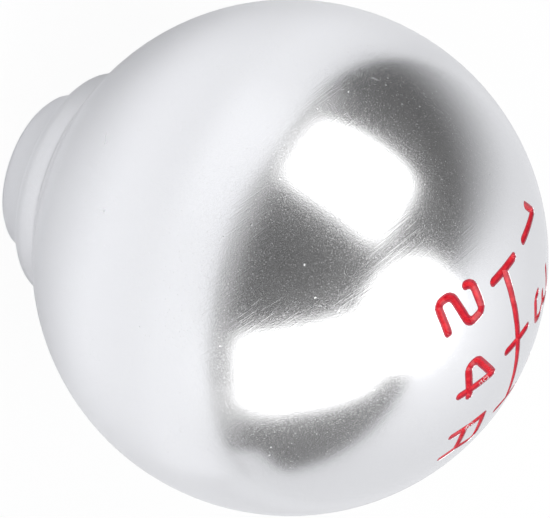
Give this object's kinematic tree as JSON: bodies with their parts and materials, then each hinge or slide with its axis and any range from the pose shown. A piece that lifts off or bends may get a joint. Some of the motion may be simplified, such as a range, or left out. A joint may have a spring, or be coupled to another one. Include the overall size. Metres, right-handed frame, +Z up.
{
  "type": "gear shift knob",
  "caption": "Round aluminium gear shift knob with a beaded neck, a blind tapped lever hole and a red-filled engraved shift pattern on its crown.",
  "frame": {"origin": "centre of the neck's flat end face, which the knob stands on and the lever's thread enters", "axes": "+Z up the knob's turning axis from the neck to the crown, +X the shift pattern's right, +Y the shift pattern's up, which faces forward in the car"},
  "size_m": [0.05, 0.05, 0.0537],
  "materials": {
    "satin_aluminium": "satin, fine blasted grain with faint brush marks, clear anodised",
    "red_enamel": "brushed-in gloss enamel, a thin coat in the engraved grooves"
  },
  "bodies": {
    "root": {"knob_body": "satin_aluminium", "gate_fill": "red_enamel", "numeral_1_fill": "red_enamel", "numeral_2_fill": "red_enamel", "numeral_3_fill": "red_enamel", "numeral_4_fill": "red_enamel", "numeral_5_fill": "red_enamel", "letter_r_fill": "red_enamel"}
  },
  "joints": []
}
